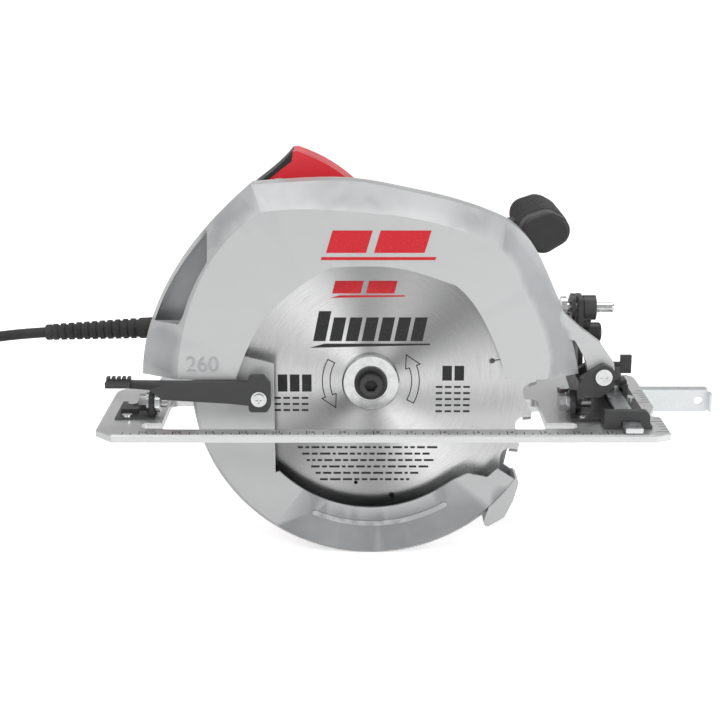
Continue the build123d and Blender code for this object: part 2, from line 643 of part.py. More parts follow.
@part("commutator")
def commutator():
    return on_motor(13, *COMMUTATOR_Y) - on_motor(5 + SNUG, 110, 140)


@part("cooling_fan")
def cooling_fan():
    hub = on_motor(12, *FAN_Y) + on_motor(42, FAN_Y[0], FAN_Y[0] + 2)
    for k in range(14):
        vane = Pos(MOTOR_X, MOTOR_Z) * Rot(0, 0, 360 / 14 * k) * Pos(26.5, 0) * Rectangle(30, 1.6)
        hub += slab(vane, *FAN_Y)
    return hub - on_motor(ROTOR_SHAFT_R + SNUG, 40, 63)


@part("rotor_bearings")
def rotor_bearings():
    hole = ROTOR_SHAFT_R + RUNNING
    front = ring(MOTOR_X, MOTOR_Z, hole, ROTOR_BEARING_R, *ROTOR_BEARING_Y)
    rear = ring(MOTOR_X, MOTOR_Z, hole, ROTOR_BEARING_R, *END_BEARING_Y)
    return Compound(children=[front, rear])


@part("field_core")
def field_core():
    """Stack of field laminations with its two wound poles."""
    core = on_motor(MOTOR_R - 3.1, *ROTOR_Y) - on_motor(25.5, 60, 120)
    for side in (-1, 1):
        flat = Pos(MOTOR_X + side * 46, MOTOR_Z) * Rectangle(8, 60)
        core -= slab(flat, 60, 120)
        core += slab(arc_slot(35, 9, 60 - side * 90 + 90, 120 - side * 90 + 90, MOTOR_X, MOTOR_Z),
                     ROTOR_Y[0] - 5, ROTOR_Y[1] + 4)
    return core - on_motor(25.5, 50, 130)


@part("motor_housing")
def motor_housing():
    body = on_motor(MOTOR_R, *MOTOR_Y) - on_motor(MOTOR_R - 3, 40, 160)
    for side in (0, 180):
        px, pz = polar(MOTOR_R - 2, side, MOTOR_X, MOTOR_Z)
        turn = Pos(MOTOR_X, MOTOR_Z) * Rot(0, 0, side)
        body += slab(turn * Pos(MOTOR_R - 10, 0) * Rectangle(20.5, 16), 119, 132)
        body -= slab(turn * Pos(MOTOR_R - 12, 0) * Rectangle(40, 10.1), 120.95, 130.05)
    for k in range(16):
        angle = 360 / 16 * (k + 0.5)
        vent = Pos(MOTOR_X, MOTOR_Z) * Rot(0, 0, angle) * Pos(MOTOR_R, 0) * Rectangle(12, 3)
        if abs(angle - 180) > 60:
            body -= slab(vent, 50, 62)
    return body


@part("motor_end_cap")
def motor_end_cap():
    shell = on_motor(MOTOR_R, MOTOR_Y[1], CAP_END_Y)
    shell = fillet(shell.faces().sort_by(Axis.Y)[-1].edges(), 9)
    shell -= on_motor(MOTOR_R - 3, MOTOR_Y[1] - 1, CAP_END_Y - 3 - 8)
    shell += on_motor(12.5, MOTOR_Y[1], CAP_END_Y - 3)
    for k in range(-3, 4):
        slot = Pos(MOTOR_X, MOTOR_Z + 9 * k) * RectangleRounded(14, 3.4, 1.6)
        for side in (-24, 24):
            shell -= slab(Pos(side, 0) * slot, 150, 175)
    return shell - on_motor(ROTOR_BEARING_R + SNUG, 149, END_BEARING_Y[1] + 0.2)


@part("brush_holders")
def brush_holders():
    """A carbon brush in a square guide on each side of the commutator."""
    guides = []
    for side in (0, 180):
        turn = Pos(MOTOR_X, MOTOR_Z) * Rot(0, 0, side)
        guides.append(slab(turn * Pos(27.7, 0) * Rectangle(28.6, 10), 121, 130))
    return Compound(children=guides)


@part("brush_caps")
def brush_caps():
    caps = []
    for side in (0, 180):
        turn = Pos(MOTOR_X, MOTOR_Z) * Rot(0, 0, side)
        caps.append(slab(turn * Pos(46.2, 0) * Rectangle(7.6, 9.9), 121.05, 129.95))
    return Compound(children=caps)


# ---- handles ----------------------------------------------------------------------------------
NEAR_SIDE, FAR_SIDE = HANDLE_Y - HANDLE_HALF, HANDLE_Y + HANDLE_HALF
HANDLE_FRONT = [(34, 96), (22, 128), (6, 160), (-13, 182), (-25, 191.6), (-42, 201.6), (-58, 208)]
HANDLE_BACK = [(-62, 207.5), (-74, 195), (-94, 179), (-116, 158), (-138, 129), (-155, 98),
               (-166, 76), (-170, 60)]
HANDLE_FOOT = [(-170, 60), (-166, 47), (-150, 40), (-90, 36), (-20, 34)]
LOOP = [(-50, 84), (-47, 112), (-42, 138), (-50, 155), (-70, 154), (-92, 132), (-112, 106),
        (-124, 86), (-116, 73), (-86, 70), (-60, 72)]
GRIP_T = 3.0
TRIGGER_PIVOT = (-62.0, 160.0)
TRIGGER_SLOT = [(-52, 166), (-60, 145), (-95, 124), (-104, 134), (-92, 152), (-70, 168)]
CORD_EXIT_X, CORD_EXIT_Z = -170.0, 62.0
RELIEF_END = (-266.0, 57.5)


def handle_profile():
    """The D-shaped outline with its finger loop."""
    outer = make_face(Curve() + [Spline(*HANDLE_FRONT), Line(HANDLE_FRONT[-1], HANDLE_BACK[0]),
                                 Spline(*HANDLE_BACK), Spline(*HANDLE_FOOT),
                                 Line(HANDLE_FOOT[-1], HANDLE_FRONT[0])])
    return outer - make_face(Spline(*LOOP, periodic=True))


def shifted(points, distances):
    """Each point of a closed outline moved to the left of its own direction of travel."""
    moved = []
    count = len(points)
    for k, (x, z) in enumerate(points):
        (x0, z0), (x1, z1) = points[k - 1], points[(k + 1) % count]
        run = hypot(x1 - x0, z1 - z0)
        moved.append((x - (z1 - z0) / run * distances[k], z + (x1 - x0) / run * distances[k]))
    return moved


def handle_hollow():
    """The space inside both halves, deeper behind the soft grip."""
    outline = HANDLE_FRONT + HANDLE_BACK[1:] + HANDLE_FOOT[1:]
    back = len(HANDLE_FRONT) + len(HANDLE_BACK) - 1
    depths = [HANDLE_WALL + GRIP_T + 1 if len(HANDLE_FRONT) <= k < back else HANDLE_WALL
              for k in range(len(outline))]
    inner = polygon(shifted(outline, depths))
    return inner - polygon(shifted(LOOP, [-HANDLE_WALL] * len(LOOP)))


def rear_skin():
    """The strip along the back of the grip that the soft rubber takes up."""
    band = make_face(Curve() + [Line((-60, 215), (-62, 200)),
                                Spline((-62, 200), (-76, 189), (-98, 170), (-130, 134),
                                       (-150, 100), (-158, 88)),
                                Polyline((-158, 88), (-190, 88), (-190, 215), (-60, 215))])
    return band


def handle_half(y0, y1, wall_y):
    """One moulded half: the profile with a hollow that opens on the parting plane."""
    body = slab(handle_profile() - rear_skin(), y0, y1)
    depth = (wall_y, y1 + 1) if wall_y < HANDLE_Y else (y0 - 1, wall_y)
    hollow = slab(handle_hollow(), *depth)
    room = on_motor(MOTOR_R, 20, 200)
    body = body - (hollow - on_motor(MOTOR_R + HANDLE_WALL, 20, 200)) - room
    body -= rod_x(HANDLE_Y, CORD_EXIT_Z, 8.5 + SNUG, -180, -140)
    body -= slab(polygon(TRIGGER_SLOT), HANDLE_Y - 9, HANDLE_Y + 9)
    for x, z in HANDLE_SCREWS:
        post = disc(x, z, 5.2, y0, y1)
        body = body + post - disc(x, z, 2.5 + SNUG, 0, 100)
    return body


HANDLE_SCREWS = [(-22, 172), (-84, 166), (-130, 54), (0, 120)]


@part("handle_near_half")
def handle_near_half():
    return handle_half(NEAR_SIDE, HANDLE_Y, NEAR_SIDE + HANDLE_WALL)


@part("handle_far_half")
def handle_far_half():
    body = handle_half(HANDLE_Y, FAR_SIDE, FAR_SIDE - HANDLE_WALL)
    return body - disc(*LOCK_OFF, 4 + RUNNING, HANDLE_Y - 1, FAR_SIDE + 1)


@part("handle_soft_grip")
def handle_soft_grip():
    return slab(handle_profile() & rear_skin(), NEAR_SIDE, FAR_SIDE)


@part("handle_screws")
def handle_screws():
    screws = []
    for x, z in HANDLE_SCREWS:
        screw = disc(x, z, 2.5, NEAR_SIDE + 2, FAR_SIDE) + disc(x, z, 4.6, FAR_SIDE, FAR_SIDE + 2.2)
        cross = slab(Pos(x, z) * (Rectangle(5, 1) + Rectangle(1, 5)), FAR_SIDE + 0.8, FAR_SIDE + 3)
        screws.append(screw - cross)
    return Compound(children=screws)


LOCK_OFF = (-28.0, 154.0)


@part("switch_body")
def switch_body():
    return block(-33, -12, HANDLE_Y - 11, HANDLE_Y + 7, 126, 148)


@part("trigger")
def trigger():
    """Finger lever under the grip, which swings up into it about its front end."""
    blade = polygon([(-58, 162), (-61, 149), (-76, 137), (-92, 128), (-94, 134), (-86, 146),
                     (-70, 160)], 2)
    body = slab(blade, HANDLE_Y - 7, HANDLE_Y + 7) + disc(*TRIGGER_PIVOT, 4.5, HANDLE_Y - 7, HANDLE_Y + 7)
    return body - disc(*TRIGGER_PIVOT, 1.5, HANDLE_Y - 9, HANDLE_Y + 9)


@part("lock_off_button")
def lock_off_button():
    button = disc(*LOCK_OFF, 4, FAR_SIDE - 6, FAR_SIDE + 4)
    return chamfer(button.faces().sort_by(Axis.Y)[-1].edges(), 0.8)


AUX_PROFILE = [(107, 154), (138.5, 164.5), (167, 149.6), (132, 128)]
AUX_NECK = [(36.5, 92), (45, 78), (112, 134), (128, 152), (112, 150), (96, 146)]
AUX_Y = (18.0, 112.0)
AUX_CAP_Y = 32.0


def aux_face(shrink=0.0):
    face = polygon(AUX_PROFILE, 12)
    return offset(face, -shrink) if shrink else face


@part("aux_handle_bar")
def aux_handle_bar():
    """Core of the front handle and the neck that stands on the gear case and motor."""
    core = slab(aux_face(3), AUX_CAP_Y, AUX_Y[1] - 3)
    neck = polygon(AUX_NECK, 3)
    return core + slab(neck, 56, 76) - on_motor(MOTOR_R, 20, 160)


@part("aux_handle_grip")
def aux_handle_grip():
    body = slab(aux_face(), AUX_CAP_Y, AUX_Y[1])
    body -= slab(aux_face(3), AUX_CAP_Y - 1, AUX_Y[1] - 3)
    neck = polygon(AUX_NECK, 3)
    return body - slab(offset(neck, 0.2), 55.8, 76.2)


@part("aux_handle_cap")
def aux_handle_cap():
    body = slab(aux_face(), AUX_Y[0], AUX_CAP_Y)
    return fillet(body.faces().sort_by(Axis.Y)[0].edges(), 3)


# ---- controls on the gear case and guard ---------------------------------------------------------
@part("depth_lock_bolt")
def depth_lock_bolt():
    bolt = disc(*DEPTH_LOCK, 4, GUARD_BACK_Y - GUARD_WALL, 36)
    return bolt + slab(Pos(*DEPTH_LOCK) * hexagon(6.5), 34.2, 38)


@part("depth_lock_lever")
def depth_lock_lever():
    x, z = DEPTH_LOCK
    hub = disc(x, z, 9, 21.6, 34)
    arm = polygon([(x - 5, z - 7), (x + 5, z - 7), (x + 24, z + 22), (x + 14, z + 27)], 3)
    body = hub + slab(arm, 27, 34) + slab(Pos(x + 19, z + 25) * Circle(7), 25, 36)
    return body - disc(x, z, 4 + RUNNING, 10, 40)


@part("spindle_lock_button")
def spindle_lock_button():
    pin = rod_x(LOCK_PIN_Y, LOCK_BUTTON_Z, 3, 29, 45)
    return pin + rod_x(LOCK_PIN_Y, LOCK_BUTTON_Z, 6.5, 44.5, 52)


# ---- power cord -------------------------------------------------------------------------------------
COIL_HEIGHT = COIL_LAYERS * CORD_D
COIL_TOP = FLOOR_Z + COIL_HEIGHT
CORD_ROUTE = [(-266, 60, 57.5), (-300, 60, 55.5), (-340, 60, 47), (-372, 60, 16),
              (-386, 60, -22), (-405, 60, -54), (-437, 60, -69.5)]
PLUG_X = COIL_X - 47.0
PLUG_Y = (88.0, 128.0)


@part("strain_relief")
def strain_relief():
    """Tapered, ringed rubber sleeve where the cord leaves the handle."""
    length = CORD_EXIT_X - RELIEF_END[0]
    droop = degrees(atan2(CORD_EXIT_Z - RELIEF_END[1], length))
    reach = length / cos(radians(droop))
    sleeve = Pos(CORD_EXIT_X, HANDLE_Y, CORD_EXIT_Z) * Rot(0, -90 - droop, 0)
    cone = sleeve * Cone(8.5, 6.5, reach, align=STANDING)
    anchor = rod_x(HANDLE_Y, CORD_EXIT_Z, 8.5, -172, -146)
    return cone + anchor


def cord_path():
    radii = []
    for a, b, c in zip(CORD_ROUTE, CORD_ROUTE[1:], CORD_ROUTE[2:]):
        before, after = Vector(*b) - Vector(*a), Vector(*c) - Vector(*b)
        shorter = min(before.length, after.length)
        radii.append(0.45 * shorter / tan(radians(before.get_angle(after)) / 2))
    print("cord arc radii:", [round(r, 1) for r in radii])
    return FilletPolyline(*CORD_ROUTE, radius=radii)


@part("cord_tube")
def cord_tube():
    path = cord_path()
    tube = sweep(Plane(origin=path @ 0, z_dir=path % 0) * Circle(CORD_D / 2), path=path)
    ratio = tube.volume / (pi * CORD_D**2 / 4 * path.length)
    print("cord tube length:", round(path.length, 1), "volume over section x length:", round(ratio, 4))
    return tube


@part("cord_coil")
def cord_coil():
    """Outer form of the put-away coil: two columns of turns, five layers high."""
    outer, inner = COIL_RADII[1] + CORD_D / 2, COIL_RADII[0] - CORD_D / 2
    body = Pos(COIL_X, COIL_Y, FLOOR_Z) * Cylinder(outer, COIL_HEIGHT, align=STANDING)
    body -= Pos(COIL_X, COIL_Y, FLOOR_Z - 1) * Cylinder(inner, COIL_HEIGHT + 2, align=STANDING)
    return fillet(body.edges(), 3)


@part("cord_tie")
def cord_tie():
    """Strap round the coil's bundle of turns."""
    inner, outer = COIL_RADII[0] - CORD_D / 2, COIL_RADII[1] + CORD_D / 2
    x0, x1 = COIL_X + inner, COIL_X + outer
    y0, y1 = COIL_Y - 6, COIL_Y + 6
    shell = block(x0 - 2.4, x1 + 2, y0, y1, FLOOR_Z, COIL_TOP + 2)
    return shell - block(x0 - 0.8, x1 + 0.4, y0 - 1, y1 + 1, FLOOR_Z - 1, COIL_TOP + 0.4)


@part("plug_body")
def plug_body():
    """Moulded two-pin plug lying on the coil."""
    y0, y1 = PLUG_Y
    body = block(PLUG_X - 14, PLUG_X + 14, y0, y1, COIL_TOP, COIL_TOP + 24)
    return fillet(body.edges().filter_by(Axis.Y), 8)


@part("plug_blades")
def plug_blades():
    y = PLUG_Y[1]
    blades = [block(PLUG_X + s * 6.35 - 0.75, PLUG_X + s * 6.35 + 0.75, y, y + 17,
                    COIL_TOP + 9, COIL_TOP + 15.3) for s in (-1, 1)]
    return Compound(children=blades)


os.makedirs("parts", exist_ok=True)
for node, make in NODES.items():
    shape = make()
    shape.label = node
    export_step(shape, f"parts/{node}.step")
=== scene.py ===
import json
import math
import random

import bmesh
import bpy
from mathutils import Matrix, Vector


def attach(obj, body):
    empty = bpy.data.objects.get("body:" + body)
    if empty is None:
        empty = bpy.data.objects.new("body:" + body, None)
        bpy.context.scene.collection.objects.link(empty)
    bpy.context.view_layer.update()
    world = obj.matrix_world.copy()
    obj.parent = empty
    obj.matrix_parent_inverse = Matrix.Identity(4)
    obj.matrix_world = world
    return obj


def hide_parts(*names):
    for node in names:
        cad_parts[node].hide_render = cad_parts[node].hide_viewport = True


# Looks of a corded sidewinder circular saw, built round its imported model. Blender works in
# metres; names and arguments below are in millimetres unless they are multiplied by MM.
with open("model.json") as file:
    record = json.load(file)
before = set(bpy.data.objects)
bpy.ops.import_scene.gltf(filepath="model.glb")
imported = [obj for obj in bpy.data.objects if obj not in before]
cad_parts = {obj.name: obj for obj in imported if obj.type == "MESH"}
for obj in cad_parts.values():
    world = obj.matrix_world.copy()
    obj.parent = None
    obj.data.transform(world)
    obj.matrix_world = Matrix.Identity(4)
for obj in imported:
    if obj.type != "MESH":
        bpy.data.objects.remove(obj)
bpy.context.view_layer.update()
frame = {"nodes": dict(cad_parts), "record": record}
nodes = frame["nodes"]
scene = bpy.context.scene
MM = 0.001

ARBOR = Vector((0, 0, 33.4)) * MM
LOWER_R = 139.0 * MM
FLOOR_Z = ARBOR.z - LOWER_R
CORD_D = 8.5 * MM

# ---- camera --------------------------------------------------------------------------------------
CAMERA_LENS = 71.5
CAMERA_DISTANCE = 1.118
CAMERA_TILT = 15.5
CAMERA_AIM = Vector((-0.0085, 0, 0.0505))


def make_camera():
    """A long lens in front of the blade, looking a little down on it."""
    data = bpy.data.cameras.new("camera")
    data.lens = CAMERA_LENS
    data.clip_start, data.clip_end = 0.05, 20
    camera = bpy.data.objects.new("camera", data)
    scene.collection.objects.link(camera)
    tilt = math.radians(CAMERA_TILT)
    back = Vector((0, -math.cos(tilt), math.sin(tilt)))
    camera.location = CAMERA_AIM + back * CAMERA_DISTANCE
    camera.rotation_mode = "QUATERNION"
    camera.rotation_quaternion = (-back).to_track_quat("-Z", "Y")
    scene.camera = camera


# ---- materials -----------------------------------------------------------------------------------
class Shader:
    """A principled material with short calls for the nodes used here."""

    def __init__(self, name, color, roughness, metallic=0.0, **sockets):
        self.material = bpy.data.materials.new(name)
        self.material.use_nodes = True
        self.tree = self.material.node_tree
        self.bsdf = self.tree.nodes["Principled BSDF"]
        self.coords = self.tree.nodes.new("ShaderNodeTexCoord").outputs["Object"]
        self.color, self.roughness = color, roughness
        self.bsdf.inputs["Base Color"].default_value = (*color, 1)
        self.bsdf.inputs["Roughness"].default_value = roughness
        self.bsdf.inputs["Metallic"].default_value = metallic
        for socket, value in sockets.items():
            self.bsdf.inputs[socket.replace("_", " ")].default_value = value
        self.height = None

    def node(self, kind, **values):
        made = self.tree.nodes.new(kind)
        for key, value in values.items():
            if key in made.inputs:
                made.inputs[key].default_value = value
            else:
                setattr(made, key, value)
        return made

    def link(self, source, target):
        self.tree.links.new(source, target)

    def stretched(self, scale):
        mapping = self.node("ShaderNodeMapping")
        mapping.inputs["Scale"].default_value = scale
        self.link(self.coords, mapping.inputs["Vector"])
        return mapping.outputs["Vector"]

    def noise(self, size_mm, detail=4.0, stretch=(1, 1, 1)):
        noise = self.node("ShaderNodeTexNoise", Scale=1000.0 / size_mm, Detail=detail)
        self.link(self.stretched(stretch), noise.inputs["Vector"])
        return noise.outputs["Fac"]

    def ramp(self, value, low, high, start=0.0, end=1.0):
        spread = self.node("ShaderNodeMapRange")
        self.link(value, spread.inputs["Value"])
        for key, number in (("From Min", low), ("From Max", high), ("To Min", start),
                            ("To Max", end)):
            spread.inputs[key].default_value = number
        return spread.outputs["Result"]

    def tint(self, value, low, high, color):
        """Mixes another colour in where the value runs from low to high."""
        mix = self.node("ShaderNodeMix", data_type="RGBA")
        self.link(self.ramp(value, low, high), mix.inputs[0])
        source = self.bsdf.inputs["Base Color"]
        if source.is_linked:
            self.link(source.links[0].from_socket, mix.inputs[6])
        else:
            mix.inputs[6].default_value = (*self.color, 1)
        mix.inputs[7].default_value = (*color, 1)
        self.link(mix.outputs[2], source)
        return self

    def polish(self, value, swing):
        low, high = self.roughness - swing, self.roughness + swing
        self.link(self.ramp(value, 0.3, 0.7, low, high), self.bsdf.inputs["Roughness"])
        return self

    def bump(self, value, strength, depth_mm=0.1):
        bump = self.node("ShaderNodeBump", Strength=strength, Distance=depth_mm * MM)
        self.link(value, bump.inputs["Height"])
        if self.height is not None:
            self.link(self.height, bump.inputs["Normal"])
        self.height = bump.outputs["Normal"]
        self.link(self.height, self.bsdf.inputs["Normal"])
        return self

    def worn_edges(self, color, amount=0.55):
        """Brighter where the geometry is sharply convex."""
        point = self.node("ShaderNodeNewGeometry").outputs["Pointiness"]
        self.tint(point, 0.515, 0.56, tuple(amount * a + (1 - amount) * b
                                           for a, b in zip(color, self.color)))
        return self

    def radius(self):
        """Distance from the blade's axis, in metres, and the angle about it."""
        split = self.node("ShaderNodeSeparateXYZ")
        self.link(self.coords, split.inputs[0])
        z = self.math("SUBTRACT", split.outputs["Z"], ARBOR.z)
        square = self.math("ADD", self.math("MULTIPLY", split.outputs["X"], split.outputs["X"]),
                           self.math("MULTIPLY", z, z))
        return self.math("SQRT", square), self.math("ARCTAN2", z, split.outputs["X"])

    def math(self, operation, a, b=None):
        made = self.node("ShaderNodeMath", operation=operation)
        for socket, value in zip(made.inputs, (a, b)):
            if value is None:
                continue
            if isinstance(value, (int, float)):
                socket.default_value = value
            else:
                self.link(value, socket)
        return made.outputs[0]


def painted_guard():
    """Silver-grey lacquer over a casting: fine orange peel and faint cloudiness."""
    shader = Shader("guard_paint", (0.46, 0.47, 0.48), 0.42, 0.55, Coat_Weight=0.25,
                    Coat_Roughness=0.25)
    shader.tint(shader.noise(90, 3), 0.35, 0.75, (0.52, 0.53, 0.54))
    shader.tint(shader.noise(0.6, 2), 0.62, 0.8, (0.62, 0.63, 0.64))
    shader.polish(shader.noise(12), 0.06)
    shader.bump(shader.noise(2.2, 2), 0.10, 0.06).bump(shader.noise(0.5, 2), 0.12, 0.03)
    return shader.worn_edges((0.8, 0.8, 0.8)).material


# Painted shade: the guard's grey paint made darker all over for the lower guard.
def shadowed_guard():
    shader = Shader("lower_guard_paint_and_painted_shade", (0.31, 0.32, 0.33), 0.46, 0.5, Coat_Weight=0.2)
    shader.tint(shader.noise(60, 3), 0.35, 0.75, (0.42, 0.43, 0.44))
    shader.polish(shader.noise(10), 0.06)
    shader.bump(shader.noise(2.5, 2), 0.12, 0.06).bump(shader.noise(0.5, 2), 0.12, 0.03)
    return shader.worn_edges((0.8, 0.8, 0.8)).material


def cast_aluminium():
    shader = Shader("cast_aluminium", (0.52, 0.53, 0.54), 0.5, 0.85)
    shader.tint(shader.noise(25), 0.4, 0.7, (0.42, 0.43, 0.44)).polish(shader.noise(6), 0.1)
    shader.bump(shader.noise(1.6, 5), 0.4, 0.15)
    return shader.worn_edges((0.8, 0.8, 0.8)).material


def brushed_metal(name, color, roughness, along, metallic=1.0):
    """Fine grinding lines that run along the direction with the smallest stretch."""
    shader = Shader(name, color, roughness, metallic)
    lines = shader.noise(0.35, 3, along)
    shader.tint(lines, 0.45, 0.75, tuple(min(1, c * 1.12) for c in color))
    shader.tint(shader.noise(45), 0.4, 0.7, tuple(c * 0.9 for c in color))
    shader.polish(lines, 0.08).bump(lines, 0.12, 0.03)
    return shader.worn_edges((0.9, 0.9, 0.9)).material


def bright_steel(name="bright_steel", color=(0.76, 0.77, 0.78), roughness=0.22):
    """Turned and plated fasteners with faint darker blotches."""
    shader = Shader(name, color, roughness, 1.0)
    shader.tint(shader.noise(5), 0.45, 0.7, tuple(c * 0.86 for c in color))
    shader.polish(shader.noise(3), 0.07).bump(shader.noise(0.5), 0.06, 0.03)
    return shader.material


def ground_blade():
    """Circular-ground steel: rings, a fan of painted highlights and shade, and clear lacquer."""
    shader = Shader("ground_blade", (0.26, 0.26, 0.265), 0.3, 1.0, Anisotropic=0.75,
                    Coat_Weight=0.15, Coat_Roughness=0.2)
    radius, angle = shader.radius()
    # Painted highlights and shade: bright and dark fans by angle about the arbor, tinted into the
    # base colour.
    fan = shader.math("SINE", shader.math("ADD", shader.math("MULTIPLY", angle, 6.0), 0.9))
    wide = shader.math("SINE", shader.math("ADD", shader.math("MULTIPLY", angle, 2.0), 2.6))
    fan, wide = shader.math("MULTIPLY", fan, 0.3), shader.math("MULTIPLY", wide, 0.5)
    painted_light_and_shade = shader.math("ADD", fan, wide)
    shader.tint(painted_light_and_shade, -0.75, 0.6, (0.92, 0.92, 0.92))
    rings = shader.node("ShaderNodeTexNoise", Scale=1.0, Detail=4.0)
    ring_coords = shader.node("ShaderNodeCombineXYZ")
    shader.link(shader.math("MULTIPLY", radius, 5200.0), ring_coords.inputs[0])
    shader.link(shader.math("MULTIPLY", angle, 3.0), ring_coords.inputs[1])
    shader.link(ring_coords.outputs[0], rings.inputs["Vector"])
    shader.tint(rings.outputs["Fac"], 0.5, 0.85, (0.46, 0.46, 0.47))
    shader.polish(rings.outputs["Fac"], 0.07).bump(rings.outputs["Fac"], 0.12, 0.02)
    tangent = shader.node("ShaderNodeTangent", direction_type="RADIAL", axis="Y")
    shader.link(tangent.outputs[0], shader.bsdf.inputs["Tangent"])
    return shader.material


def moulded_plastic(name, color, roughness, grain_mm=0.7, grain=0.35, gloss=0.0):
    shader = Shader(name, color, roughness, 0.0, Coat_Weight=gloss, Coat_Roughness=0.2)
    lighter = tuple(min(1, c * 1.25 + 0.004) for c in color)
    shader.tint(shader.noise(30), 0.4, 0.75, lighter).polish(shader.noise(8), 0.07)
    shader.bump(shader.noise(grain_mm, 3), grain, 0.06)
    return shader.worn_edges(tuple(min(1, c * 1.8 + 0.03) for c in color)).material


def rubber(name="grip_rubber", color=(0.018, 0.018, 0.019)):
    shader = Shader(name, color, 0.72, 0.0, Sheen_Weight=0.15, Sheen_Roughness=0.4)
    shader.tint(shader.noise(18), 0.4, 0.7, tuple(c * 1.6 + 0.004 for c in color))
    shader.tint(shader.noise(1.2, 2), 0.68, 0.8, (0.06, 0.06, 0.062))
    shader.polish(shader.noise(5), 0.08).bump(shader.noise(0.5, 4), 0.5, 0.08)
    return shader.material


def ink(name, color):
    shader = Shader(name, color, 0.45, 0.0)
    shader.tint(shader.noise(1.5), 0.55, 0.8, tuple(c * 1.3 + 0.03 for c in color))
    return shader.material


# ---- geometry helpers ----------------------------------------------------------------------------
def mm(*values):
    return Vector(values) * MM


def new_object(name, data, body, material):
    obj = bpy.data.objects.new(name, data)
    scene.collection.objects.link(obj)
    if material is not None:
        data.materials.append(material)
    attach(obj, body)
    return obj


def mesh_from(name, bm, body, material, smooth_angle=35):
    bmesh.ops.recalc_face_normals(bm, faces=bm.faces[:])
    mesh = bpy.data.meshes.new(name)
    bm.to_mesh(mesh)
    bm.free()
    mesh.shade_smooth()
    mesh.set_sharp_from_angle(angle=math.radians(smooth_angle))
    return new_object(name, mesh, body, material)


def bevelled(obj, width_mm, segments=3, angle=35):
    bevel = obj.modifiers.new("bevel", "BEVEL")
    bevel.width, bevel.segments = width_mm * MM, segments
    bevel.limit_method, bevel.angle_limit = "ANGLE", math.radians(angle)
    return obj


def prism(bm, outline, start, end, place):
    """Adds an extruded outline: place(u, v, depth) gives each corner in mm."""
    rings = [[bm.verts.new(mm(*place(u, v, depth))) for u, v in outline] for depth in (start, end)]
    count = len(outline)
    bm.faces.new(rings[0])
    bm.faces.new(list(reversed(rings[1])))
    for k in range(count):
        after = (k + 1) % count
        bm.faces.new((rings[0][k], rings[0][after], rings[1][after], rings[1][k]))


def facing_blade(u, v, depth):
    """Outline in X and Z, depth along Y."""
    return (u, depth, v)


def facing_up(u, v, depth):
    """Outline in X and Y, depth along Z."""
    return (u, v, depth)


def rectangle(u0, u1, v0, v1):
    return [(u0, v0), (u1, v0), (u1, v1), (u0, v1)]


def lathe(name, profile, start, axis, body, material, count=48, angle=35):
    """Turns (radius, distance) pairs in mm about an axis through a point."""
    bm = bmesh.new()
    turn = Vector((0, 0, 1)).rotation_difference(axis.normalized()).to_matrix()
    around = [2 * math.pi * k / count for k in range(count)]
    rings = []
    for radius, along in profile:
        ring = [mm(radius * math.cos(t), radius * math.sin(t), along) for t in around]
        rings.append([bm.verts.new(mm(*start) + turn @ place) for place in ring])
    for low, high in zip(rings, rings[1:]):
        for k in range(count):
            after = (k + 1) % count
            bm.faces.new((low[k], low[after], high[after], high[k]))
    bm.faces.new(list(reversed(rings[0])))
    bm.faces.new(rings[-1])
    return mesh_from(name, bm, body, material, angle)


# ---- cord ----------------------------------------------------------------------------------------
CORD_ROUTE = [(-266, 60, 57.5), (-300, 60, 55.5), (-340, 60, 47), (-372, 60, 16),
              (-386, 60, -22), (-405, 60, -54)]
COIL_CENTRE = (-430, 107)
COIL_LAYERS = 5
INNER_R, OUTER_R = 43.6, 52.2
INNER_TURNS, OUTER_TURNS = 3.55, 3.35
POINTS_A_TURN = 16
PLUG_X, PLUG_BACK_Y = -477, 88


def coil_points():
    """Down the inner column of turns and back up the outer one, clockwise from above."""
    bottom = FLOOR_Z / MM + CORD_D / MM / 2
    top = bottom + (COIL_LAYERS - 1) * CORD_D / MM
    points = []
    down = round(INNER_TURNS * POINTS_A_TURN)
    for k in range(down + 1):
        points.append((INNER_R, k, top + (bottom - top) * k / down))
    up = round(OUTER_TURNS * POINTS_A_TURN)
    for k in range(2, up + 1):
        points.append((OUTER_R, down + k, bottom + (top - bottom) * k / up))
    placed = []
    for radius, step, z in points:
        turn = -math.pi / 2 - 2 * math.pi * step / POINTS_A_TURN
        placed.append((COIL_CENTRE[0] + radius * math.cos(turn),
                       COIL_CENTRE[1] + radius * math.sin(turn), z))
    return placed


def plug_axis_z():
    """The plug lies on the coil, so its axis is half a plug above the coil's top."""
    return FLOOR_Z / MM + COIL_LAYERS * CORD_D / MM + 12


def make_cord(material):
    """One smooth line from the strain relief down to the floor, coiled, to the plug."""
    points = CORD_ROUTE + coil_points()
    points.append((PLUG_X - 1, PLUG_BACK_Y - 12, plug_axis_z() - 2))
    points.append((PLUG_X, PLUG_BACK_Y + 2, plug_axis_z()))
    curve = bpy.data.curves.new("power_cord", "CURVE")
    curve.dimensions = "3D"
    curve.bevel_depth, curve.bevel_resolution = CORD_D / 2, 5
    curve.resolution_u = 6
    curve.use_fill_caps = True
    spline = curve.splines.new("NURBS")
    spline.points.add(len(points) - 1)
    for point, place in zip(spline.points, points):
        point.co = (*mm(*place), 1)
    spline.order_u = 3
    spline.use_endpoint_u = True
    cord = new_object("power_cord", curve, "saw_body", material)
    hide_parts("cord_tube", "cord_coil")


# ---- pieces the CAD leaves to looks --------------------------------------------------------------
GUARD_FACE_Y = -22.0
BLADE_NEAR_Y = -0.9
SHOE_TOP = 6.0
SHOE_NEAR_Y = -52.0
SHOE_FRONT_X = 226
RULER_START_X, RULER_TICKS = 205, 63
QUARTER_INCH = 6.35


